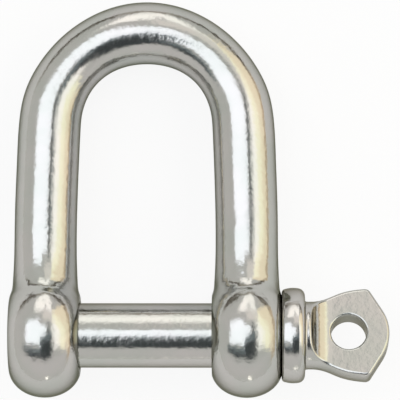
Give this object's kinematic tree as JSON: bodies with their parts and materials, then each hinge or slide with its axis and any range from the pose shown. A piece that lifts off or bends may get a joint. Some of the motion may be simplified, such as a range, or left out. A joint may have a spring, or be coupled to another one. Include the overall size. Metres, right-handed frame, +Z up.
{
  "type": "shackle",
  "caption": "Straight D shackle in polished stainless steel: a round-bar bow with forged eyes and a screw pin with a collar and a flat, pierced thumb plate.",
  "frame": {"origin": "on the pin's axis, midway between the two eyes", "axes": "+X along the pin towards its thumb plate, +Y towards the crown of the bow, +Z up, with the shackle lying on its side on both eyes and the crown"},
  "size_m": [0.0588, 0.0616, 0.0192],
  "materials": {
    "body_steel": "polished stainless steel, slightly wavy from hand polishing",
    "pin_steel": "turned and polished stainless steel"
  },
  "bodies": {
    "shackle": {"shackle_body": "body_steel"},
    "pin": {"screw_pin": "pin_steel"}
  },
  "joints": [
    {"name": "pin_withdraw", "type": "slide", "parent": "shackle", "child": "pin", "axis": [1, 0, 0], "range_m": [0, 0.045]}
  ]
}
